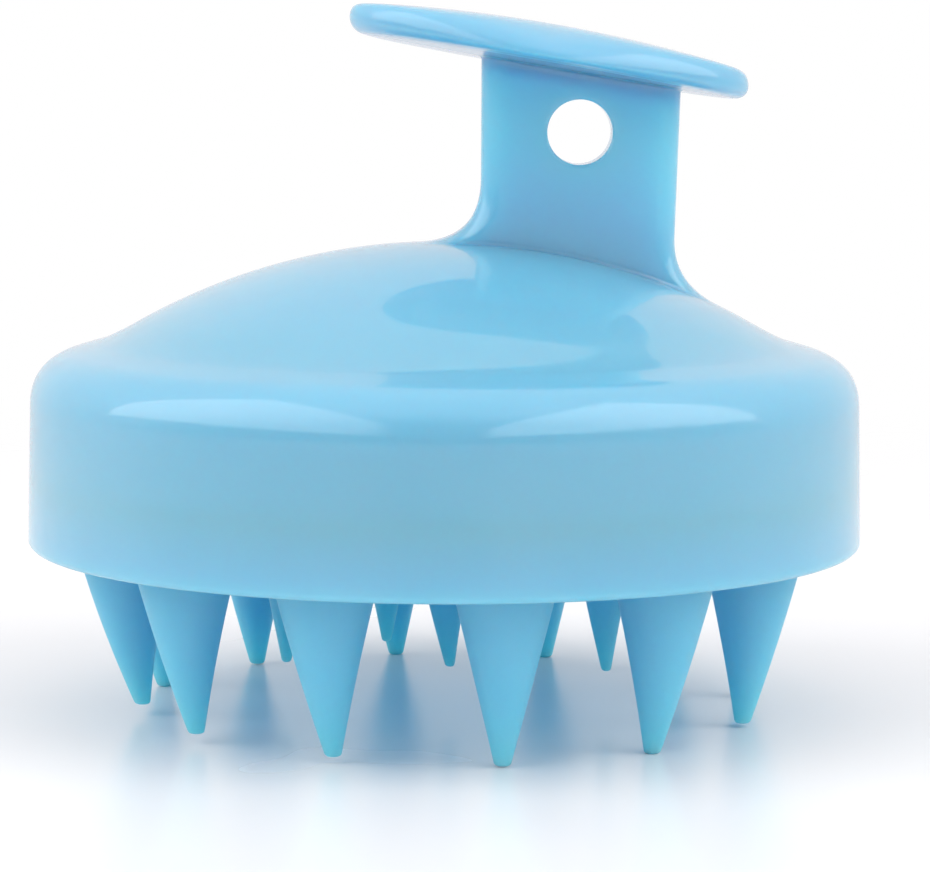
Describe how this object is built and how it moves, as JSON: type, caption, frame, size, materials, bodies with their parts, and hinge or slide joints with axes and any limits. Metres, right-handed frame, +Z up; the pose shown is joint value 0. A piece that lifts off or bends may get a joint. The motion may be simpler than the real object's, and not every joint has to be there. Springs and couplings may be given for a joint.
{
  "type": "scalp massager brush",
  "caption": "Round domed scalp massage brush with a T-shaped palm handle, a hanging hole and soft cone teeth that flex at their roots.",
  "frame": {"origin": "on the shell's round axis, at the level of the outer tooth tips", "axes": "+Z up through the handle, +X along the palm plate towards its lower end, -Y towards the viewer"},
  "size_m": [0.0824, 0.0824, 0.0698],
  "materials": {
    "shell": "polished light blue, soft highlights",
    "silicone": "satin deeper blue silicone",
    "backing": "plain moulded, hidden"
  },
  "bodies": {
    "head": {"handle_shell": "shell", "backing_plate": "backing", "brush_pad": "silicone"},
    "outer_tooth_01": {"outer_tooth_01": "silicone"},
    "outer_tooth_02": {"outer_tooth_02": "silicone"},
    "outer_tooth_03": {"outer_tooth_03": "silicone"},
    "outer_tooth_04": {"outer_tooth_04": "silicone"},
    "outer_tooth_05": {"outer_tooth_05": "silicone"},
    "outer_tooth_06": {"outer_tooth_06": "silicone"},
    "outer_tooth_07": {"outer_tooth_07": "silicone"},
    "outer_tooth_08": {"outer_tooth_08": "silicone"},
    "outer_tooth_09": {"outer_tooth_09": "silicone"},
    "outer_tooth_10": {"outer_tooth_10": "silicone"},
    "outer_tooth_11": {"outer_tooth_11": "silicone"},
    "outer_tooth_12": {"outer_tooth_12": "silicone"},
    "inner_tooth_01": {"inner_tooth_01": "silicone"},
    "inner_tooth_02": {"inner_tooth_02": "silicone"},
    "inner_tooth_03": {"inner_tooth_03": "silicone"},
    "inner_tooth_04": {"inner_tooth_04": "silicone"},
    "inner_tooth_05": {"inner_tooth_05": "silicone"},
    "inner_tooth_06": {"inner_tooth_06": "silicone"},
    "centre_tooth": {"centre_tooth": "silicone"}
  },
  "joints": [
    {"name": "outer_tooth_01_flex", "type": "hinge", "parent": "head", "child": "outer_tooth_01", "pos_m": [0.00552, -0.03132, 0.019], "axis": [-0.9848, -0.1736, 0], "range_deg": [-15, 15], "stiffness_Nm_per_rad": 0.04},
    {"name": "outer_tooth_02_flex", "type": "hinge", "parent": "head", "child": "outer_tooth_02", "pos_m": [0.02044, -0.02436, 0.019], "axis": [-0.766, -0.6428, 0], "range_deg": [-15, 15], "stiffness_Nm_per_rad": 0.04},
    {"name": "outer_tooth_03_flex", "type": "hinge", "parent": "head", "child": "outer_tooth_03", "pos_m": [0.02988, -0.01088, 0.019], "axis": [-0.342, -0.9397, 0], "range_deg": [-15, 15], "stiffness_Nm_per_rad": 0.04},
    {"name": "outer_tooth_04_flex", "type": "hinge", "parent": "head", "child": "outer_tooth_04", "pos_m": [0.03132, 0.00552, 0.019], "axis": [0.1736, -0.9848, 0], "range_deg": [-15, 15], "stiffness_Nm_per_rad": 0.04},
    {"name": "outer_tooth_05_flex", "type": "hinge", "parent": "head", "child": "outer_tooth_05", "pos_m": [0.02436, 0.02044, 0.019], "axis": [0.6428, -0.766, 0], "range_deg": [-15, 15], "stiffness_Nm_per_rad": 0.04},
    {"name": "outer_tooth_06_flex", "type": "hinge", "parent": "head", "child": "outer_tooth_06", "pos_m": [0.01088, 0.02988, 0.019], "axis": [0.9397, -0.342, 0], "range_deg": [-15, 15], "stiffness_Nm_per_rad": 0.04},
    {"name": "outer_tooth_07_flex", "type": "hinge", "parent": "head", "child": "outer_tooth_07", "pos_m": [-0.00552, 0.03132, 0.019], "axis": [0.9848, 0.1736, 0], "range_deg": [-15, 15], "stiffness_Nm_per_rad": 0.04},
    {"name": "outer_tooth_08_flex", "type": "hinge", "parent": "head", "child": "outer_tooth_08", "pos_m": [-0.02044, 0.02436, 0.019], "axis": [0.766, 0.6428, 0], "range_deg": [-15, 15], "stiffness_Nm_per_rad": 0.04},
    {"name": "outer_tooth_09_flex", "type": "hinge", "parent": "head", "child": "outer_tooth_09", "pos_m": [-0.02988, 0.01088, 0.019], "axis": [0.342, 0.9397, 0], "range_deg": [-15, 15], "stiffness_Nm_per_rad": 0.04},
    {"name": "outer_tooth_10_flex", "type": "hinge", "parent": "head", "child": "outer_tooth_10", "pos_m": [-0.03132, -0.00552, 0.019], "axis": [-0.1736, 0.9848, 0], "range_deg": [-15, 15], "stiffness_Nm_per_rad": 0.04},
    {"name": "outer_tooth_11_flex", "type": "hinge", "parent": "head", "child": "outer_tooth_11", "pos_m": [-0.02436, -0.02044, 0.019], "axis": [-0.6428, 0.766, 0], "range_deg": [-15, 15], "stiffness_Nm_per_rad": 0.04},
    {"name": "outer_tooth_12_flex", "type": "hinge", "parent": "head", "child": "outer_tooth_12", "pos_m": [-0.01088, -0.02988, 0.019], "axis": [-0.9397, 0.342, 0], "range_deg": [-15, 15], "stiffness_Nm_per_rad": 0.04},
    {"name": "inner_tooth_01_flex", "type": "hinge", "parent": "head", "child": "inner_tooth_01", "pos_m": [0.01584, -0.00223, 0.019], "axis": [-0.1392, -0.9903, 0], "range_deg": [-15, 15], "stiffness_Nm_per_rad": 0.012},
    {"name": "inner_tooth_02_flex", "type": "hinge", "parent": "head", "child": "inner_tooth_02", "pos_m": [0.00985, 0.01261, 0.019], "axis": [0.788, -0.6157, 0], "range_deg": [-15, 15], "stiffness_Nm_per_rad": 0.012},
    {"name": "inner_tooth_03_flex", "type": "hinge", "parent": "head", "child": "inner_tooth_03", "pos_m": [-0.00599, 0.01483, 0.019], "axis": [0.9272, 0.3746, 0], "range_deg": [-15, 15], "stiffness_Nm_per_rad": 0.012},
    {"name": "inner_tooth_04_flex", "type": "hinge", "parent": "head", "child": "inner_tooth_04", "pos_m": [-0.01584, 0.00223, 0.019], "axis": [0.1392, 0.9903, 0], "range_deg": [-15, 15], "stiffness_Nm_per_rad": 0.012},
    {"name": "inner_tooth_05_flex", "type": "hinge", "parent": "head", "child": "inner_tooth_05", "pos_m": [-0.00985, -0.01261, 0.019], "axis": [-0.788, 0.6157, 0], "range_deg": [-15, 15], "stiffness_Nm_per_rad": 0.012},
    {"name": "inner_tooth_06_flex", "type": "hinge", "parent": "head", "child": "inner_tooth_06", "pos_m": [0.00599, -0.01483, 0.019], "axis": [-0.9272, -0.3746, 0], "range_deg": [-15, 15], "stiffness_Nm_per_rad": 0.012},
    {"name": "centre_tooth_flex", "type": "hinge", "parent": "head", "child": "centre_tooth", "pos_m": [0, 0, 0.019], "axis": [0, -1, 0], "range_deg": [-15, 15], "stiffness_Nm_per_rad": 0.012}
  ]
}
